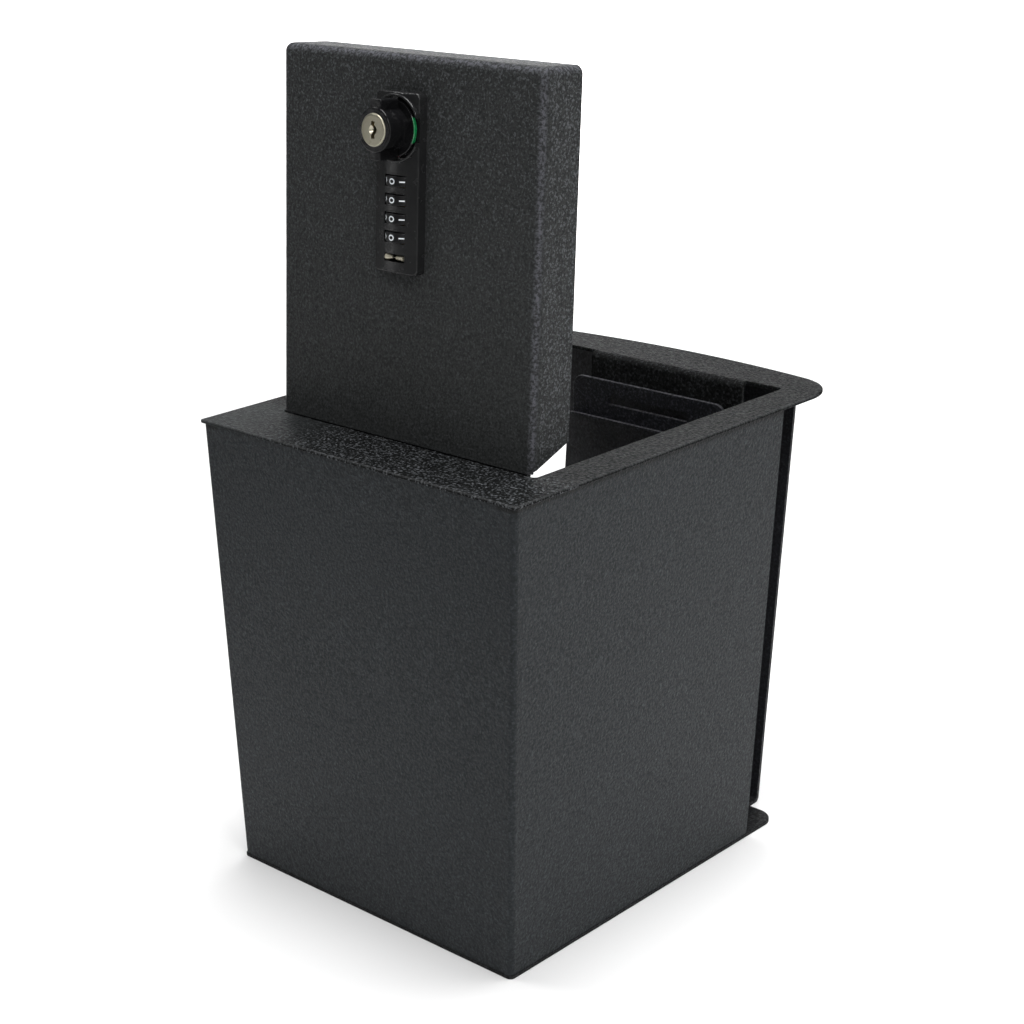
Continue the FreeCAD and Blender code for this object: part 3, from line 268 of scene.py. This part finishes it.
# Floor and inner coats: grain flecks painted pale as glints.
COAT_FLOOR = coat("coat_floor", (0.004, 0.0042, 0.0045), (0.0085, 0.0089, 0.0094), (0.028, 0.029, 0.031),
                  600.0, 0.0006, 0.5, 0.12)
COAT_IN = coat("coat_inner", (0.0054, 0.0057, 0.0070), (0.0108, 0.0113, 0.0138), (0.024, 0.025, 0.030),
               600.0, 0.0006, 0.5, 0.25)
# Strike plate coat: painted glints on its grain; a painted highlight on its up-facing edges.
COAT_STRIKE = coat("coat_strike", (0.004, 0.0042, 0.0052), (0.009, 0.0095, 0.0118), (0.045, 0.047, 0.057),
                   560.0, 0.0008, 0.42, 0.25, upward_highlight, (0.09, 0.09, 0.10), 0.8)


def satin(name, dark, light, rough, spec, grain=1800.0, strength=0.12, shine=0.0):
    g = Graph(name)
    g.to("Base Color", g.ramp(g.noise(60.0, 4.0, 0.6), [(0.3, dark), (0.7, light)]))
    g.to("Roughness", g.span(g.noise(240.0, 3.0), 0.3, 0.7, rough - 0.05, rough + 0.07))
    g.to("Normal", g.bump(g.noise(grain, 2.0), strength, 0.0001))
    g.set(Specular_IOR_Level=spec, Metallic=shine)
    return g.mat


LOCK = satin("lock_satin", (0.0045, 0.0045, 0.005), (0.0075, 0.0075, 0.0082), 0.12, 0.22, 1800.0, 0.02)
PLATE = satin("lock_plate", (0.0118, 0.0121, 0.0125), (0.0158, 0.0162, 0.0167), 0.22, 0.28, 1800.0, 0.02)
LOCK_CASE = satin("lock_case", (0.016, 0.016, 0.017), (0.026, 0.026, 0.027), 0.55, 0.4, 900.0, 0.3)
WHEEL = satin("wheel_black", (0.003, 0.003, 0.0034), (0.005, 0.005, 0.0056), 0.38, 0.3)
RUBBER = satin("pad_rubber", (0.012, 0.012, 0.012), (0.02, 0.02, 0.02), 0.75, 0.3, 700.0, 0.4)
INK = satin("numeral_ink", (0.74, 0.79, 0.83), (0.84, 0.88, 0.91), 0.5, 0.4)


def sign(name, dark, light, black):
    """Coloured insert in the knob's rim, black where its edges are covered by the coat."""
    g = Graph(name)
    tone = g.ramp(g.noise(220.0, 3.0, 0.6), [(0.3, dark), (0.7, light)])
    g.to("Base Color", g.mix(black(g), tone, (0.004, 0.004, 0.004)))
    g.to("Roughness", g.span(g.noise(240.0, 3.0), 0.3, 0.7, 0.2, 0.32))
    g.set(Specular_IOR_Level=0.8)
    return g.mat


def green_edges(g):
    x, w, h = lid_axes(g)
    off = g.math("ABSOLUTE", g.math("SUBTRACT", w, 0.1628), 0.0)
    ends = g.span(off, 0.0059, 0.0066, 0.0, 1.0)
    return g.math("MAXIMUM", ends, g.math("MAXIMUM", g.span(h, 0.00785, 0.00798, 0.0, 1.0),
                                          g.span(h, 0.0063, 0.0060, 0.0, 1.0)))


def red_edges(g):
    x, w, h = lid_axes(g)
    return g.span(g.math("ABSOLUTE", x, 0.0), 0.0040, 0.0048, 0.0, 1.0)


GREEN = sign("sign_green", (0.002, 0.12, 0.030), (0.006, 0.20, 0.060), green_edges)
RED = sign("sign_red", (0.30, 0.010, 0.010), (0.42, 0.016, 0.014), red_edges)


def spool():
    """Pale brass spool, with painted shade at its waist and deep behind the slot."""
    g = Graph("brass_pale")
    x, w, h = lid_axes(g)
    tone = g.ramp(g.noise(300.0, 3.0, 0.6), [(0.3, (0.36, 0.335, 0.25)), (0.7, (0.52, 0.49, 0.39))])
    away = g.math("ABSOLUTE", g.math("ADD", x, 0.0012), 0.0)
    # Painted shade: darker at the waist and deep behind the slot.
    painted_shade = g.math("MAXIMUM", g.span(away, 0.0016, 0.0008, 0.0, 0.9), g.span(h, 0.0042, 0.0030, 0.0, 0.95))
    g.to("Base Color", g.mix(painted_shade, tone, (0.012, 0.011, 0.008)))
    g.to("Roughness", g.span(g.noise(240.0, 3.0), 0.3, 0.7, 0.26, 0.38))
    g.set(Metallic=0.35)
    return g.mat


IVORY = spool()


def metal(name, dark, light, rough, stretch, grain=900.0, strength=0.1):
    g = Graph(name)
    brushed = g.noise(grain, 3.0, 0.6, stretch)
    blotch = g.noise(70.0, 4.0, 0.6)
    tone = g.math("ADD", g.math("MULTIPLY", brushed, 0.5), g.math("MULTIPLY", blotch, 0.5))
    g.to("Base Color", g.ramp(tone, [(0.3, dark), (0.7, light)]))
    g.to("Roughness", g.span(brushed, 0.3, 0.7, rough - 0.05, rough + 0.1))
    g.to("Normal", g.bump(brushed, strength, 0.00008))
    g.set(Metallic=1.0)
    return g.mat


NICKEL = metal("nickel_satin", (0.355, 0.335, 0.255), (0.49, 0.465, 0.37), 0.31, (1.0, 1.0, 1.0), 300.0, 0.0)
STEEL = metal("steel_zinc", (0.40, 0.41, 0.42), (0.55, 0.56, 0.57), 0.32, (1.0, 1.0, 6.0))
PIN = metal("steel_pin", (0.38, 0.38, 0.39), (0.5, 0.5, 0.51), 0.3, (0.2, 1.0, 1.0))
BRASS = metal("brass_hub", (0.48, 0.33, 0.13), (0.62, 0.45, 0.20), 0.32, (1.0, 1.0, 4.0))

FINISH = {
    "top_frame": COAT_TOP, "lid_pan": COAT_LID, "body_wrap": COAT_WALL,
    "floor_plate": COAT_FLOOR, "rear_panel": COAT_IN, "strike_plate": COAT_STRIKE,
    "lid_rest_left": COAT_IN, "lid_rest_right": COAT_IN, "rest_pads": RUBBER,
    "hinge_fixed_leaf": COAT_IN, "hinge_moving_leaf": COAT_IN, "hinge_pin": PIN,
    "lock_escutcheon": PLATE, "knob_collar": LOCK, "knob": LOCK, "lock_case": LOCK_CASE,
    "lock_screws": STEEL, "dial_axle": PIN, "detent_spring": STEEL,
    "code_slider": IVORY, "cylinder_shell": NICKEL, "key_plug": NICKEL,
    "key_wafers": BRASS, "knob_spindle": STEEL, "latch_cam": STEEL, "cam_washer": STEEL,
    "cam_screw": STEEL, "indicator_green": GREEN, "indicator_red": RED,
}
for i in range(1, 5):
    FINISH["number_wheel_%d" % i] = WHEEL
    FINISH["wheel_hub_%d" % i] = BRASS

for name, obj in nodes.items():
    mesh = obj.data
    if not mesh.materials:
        mesh.materials.append(None)
    for k in range(len(obj.material_slots)):
        obj.material_slots[k].link = "OBJECT"
        obj.material_slots[k].material = FINISH[name]

# ------------------------------------------------------------------ lid frame

def lid_point(x, w, h):
    """Point from the lid's width, length from its hinge edge and height off its face."""
    return LID @ Vector((x, EDGE + w, FACE + h))


def new_object(name, mesh, material, body, smooth=True):
    obj = bpy.data.objects.new(name, mesh)
    bpy.context.scene.collection.objects.link(obj)
    mesh.materials.clear()
    mesh.materials.append(material)
    for p in mesh.polygons:
        p.use_smooth = smooth
    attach(obj, body)
    return obj


# ------------------------------------------------------------------ numerals

WHEEL_R = 0.0095
WHEEL_W = [0.13645 - 0.00948 * i for i in range(4)]
WHEEL_H = -0.0004


DIGIT_H = 0.0038
STROKE = 0.00064


def arc(cx, cy, rx, ry, start, end, steps=14):
    return [(cx + rx * math.cos(math.radians(start + (end - start) * i / steps)),
             cy + ry * math.sin(math.radians(start + (end - start) * i / steps)))
            for i in range(steps + 1)]


def ring(cx, cy, rx, ry):
    return arc(cx, cy, rx, ry, 0, 360, 28)[:-1]


# Strokes of each numeral in a box of unit height: (points, closed).
NUMERALS = [
    [(ring(0, 0, 0.33, 0.39), True)],
    [([(0, -0.40), (0, 0.40)], False)],
    [(arc(0, 0.16, 0.27, 0.25, 165, -30) + [(-0.27, -0.41), (0.29, -0.41)], False)],
    [(arc(0, 0.20, 0.24, 0.21, 150, -90) + arc(0, -0.21, 0.28, 0.20, 90, -150)[1:], False)],
    [([(0.12, -0.44), (0.12, 0.42), (-0.28, -0.16)], False), ([(-0.28, -0.16), (0.31, -0.16)], False)],
    [([(0.25, 0.41), (-0.20, 0.41), (-0.24, 0.02)] + arc(0, -0.15, 0.27, 0.26, 130, -145), False)],
    [(ring(0, -0.15, 0.27, 0.26), True), (arc(0.14, -0.13, 0.41, 0.54, 178, 98), False)],
    [([(-0.27, 0.41), (0.27, 0.41), (-0.07, -0.43)], False)],
    [(ring(0, 0.21, 0.22, 0.20), True), (ring(0, -0.20, 0.28, 0.21), True)],
    [(ring(0, 0.15, 0.27, 0.26), True), (arc(-0.14, 0.13, 0.41, 0.54, -2, -82), False)],
]


def refine(points, closed):
    out = []
    pairs = list(zip(points, points[1:] + points[:1] if closed else points[1:]))
    for a, b in pairs:
        n = max(1, int(math.dist(a, b) / 0.09))
        out += [(a[0] + (b[0] - a[0]) * i / n, a[1] + (b[1] - a[1]) * i / n) for i in range(n)]
    return out if closed else out + [points[-1]]


def ribbon(bm, points, closed, place):
    points = [(x * DIGIT_H, y * DIGIT_H) for x, y in refine(points, closed)]
    n = len(points)
    left, right = [], []
    for i, p in enumerate(points):
        before = points[i - 1] if (i or closed) else p
        after = points[(i + 1) % n] if (i < n - 1 or closed) else p
        dx, dy = after[0] - before[0], after[1] - before[1]
        length = math.hypot(dx, dy) or 1.0
        ox, oy = -dy / length * STROKE / 2, dx / length * STROKE / 2
        left.append(bm.verts.new(place(p[0] + ox, p[1] + oy)))
        right.append(bm.verts.new(place(p[0] - ox, p[1] - oy)))
    for i in range(n if closed else n - 1):
        j = (i + 1) % n
        bm.faces.new((left[i], right[i], right[j], left[j]))


for i, w in enumerate(WHEEL_W):
    bm = bmesh.new()
    for k, strokes in enumerate(NUMERALS):
        for level, (points, closed) in enumerate(strokes):
            r = WHEEL_R + 0.00003 + 0.000006 * level

            def place(across, up, k=k, r=r):
                angle = math.radians(36.0 * k) - up / WHEEL_R
                return lid_point(r * math.sin(angle), w + across, WHEEL_H + r * math.cos(angle))

            ribbon(bm, points, closed, place)
    bmesh.ops.recalc_face_normals(bm, faces=bm.faces[:])
    mesh = bpy.data.meshes.new("numerals_%d" % (i + 1))
    bm.to_mesh(mesh)
    bm.free()
    new_object("numerals_%d" % (i + 1), mesh, INK, "number_wheel_%d" % (i + 1), False)

# ------------------------------------------------------------------ floor, light, camera

g = Graph("floor_pale")
g.to("Base Color", g.ramp(g.noise(3.0, 2.0), [(0.3, (0.86, 0.86, 0.86)), (0.7, (0.88, 0.88, 0.88))]))
g.set(Roughness=0.9, Specular_IOR_Level=0.1)
bm = bmesh.new()
profile = [(-3.0, 0.0), (1.6, 0.0)]
profile += [(1.6 + 1.2 * math.sin(a), 1.2 - 1.2 * math.cos(a))
            for a in [math.radians(7.5 * k) for k in range(1, 13)]]
profile += [(2.8, 3.5)]
AZ = math.radians(42.0)
left, away = Vector((-math.cos(AZ), -math.sin(AZ), 0)), Vector((-math.sin(AZ), math.cos(AZ), 0))
rows = []
for d, h in profile:
    rows.append([bm.verts.new(away * d + left * s + Vector((0, 0, h))) for s in (4.0, -4.0)])
for a, b in zip(rows, rows[1:]):
    bm.faces.new((a[0], a[1], b[1], b[0]))
mesh = bpy.data.meshes.new("floor")
bm.to_mesh(mesh)
bm.free()
floor = bpy.data.objects.new("floor", mesh)
bpy.context.scene.collection.objects.link(floor)
mesh.materials.append(g.mat)
for p in mesh.polygons:
    p.use_smooth = True
floor.location.z = -0.0002


def soft_light(name, place, target, size, power, spread=180.0):
    data = bpy.data.lights.new(name, "AREA")
    data.shape = "RECTANGLE"
    data.size, data.size_y = size
    data.energy = power
    data.spread = math.radians(spread)
    obj = bpy.data.objects.new(name, data)
    bpy.context.scene.collection.objects.link(obj)
    obj.location = place
    obj.rotation_euler = (Vector(target) - Vector(place)).to_track_quat("-Z", "Y").to_euler()
    return obj


def toward(az, el, distance, base=(0, 0, 0.25)):
    """Place seen from the box at an angle from the front and a height angle."""
    a, e = math.radians(az), math.radians(el)
    return (base[0] + distance * math.sin(a) * math.cos(e),
            base[1] - distance * math.cos(a) * math.cos(e), base[2] + distance * math.sin(e))


MIDDLE = (0, 0, 0.25)
soft_light("key_light", toward(70, 18, 2.2), MIDDLE, (0.7, 1.0), 8.8)
soft_light("front_light", toward(42, 40, 2.2), MIDDLE, (0.5, 0.5), 12.6)
soft_light("high_light", toward(12, 55, 2.0), (0, -0.1, 0.42), (0.11, 0.11), 2.6)
soft_light("low_light", (0.80, -0.74, 0.12), (0, -0.1, 0.36), (0.35, 0.16), 0.5)
soft_light("right_light", (0.95, 0.72, 0.28), (0.09, 0, 0.3), (0.3, 0.3), 1.9)
soft_light("left_light", (-1.1, -0.65, 1.55), (0, -0.1, 0.4), (0.4, 0.4), 5.0)
soft_light("left_strip", toward(-45, -1.4, 1.7), (0, -0.1, 0.36), (0.04, 0.36), 0.4)
soft_light("top_light", (0.05, 0.35, 2.4), (0.05, 0.35, 0), (1.4, 1.4), 16.0, 75.0)
soft_light("back_light", (-1.2, 1.35, 2.3), (-1.6, 1.8, 0.1), (1.6, 1.6), 33.0, 62.0)

world = bpy.data.worlds.new("studio")
bpy.context.scene.world = world
world.use_nodes = True
world.node_tree.nodes["Background"].inputs["Color"].default_value = (1, 1, 1, 1)
world.node_tree.nodes["Background"].inputs["Strength"].default_value = 0.12

cam = bpy.data.cameras.new("camera")
cam.sensor_width = 36.0
cam.lens = 72.745
cam.clip_start = 0.01
camera = bpy.data.objects.new("camera", cam)
bpy.context.scene.collection.objects.link(camera)
right = Vector((0.744484, 0.667539, -0.011634))
up = Vector((-0.209768, 0.250419, 0.945139))
ahead = Vector((-0.633831, 0.701200, -0.326462))
camera.matrix_world = Matrix((
    (right.x, up.x, -ahead.x, 0.73953),
    (right.y, up.y, -ahead.y, -0.83605),
    (right.z, up.z, -ahead.z, 0.58460),
    (0, 0, 0, 1)))
bpy.context.scene.camera = camera
bpy.context.scene.view_settings.view_transform = "Standard"
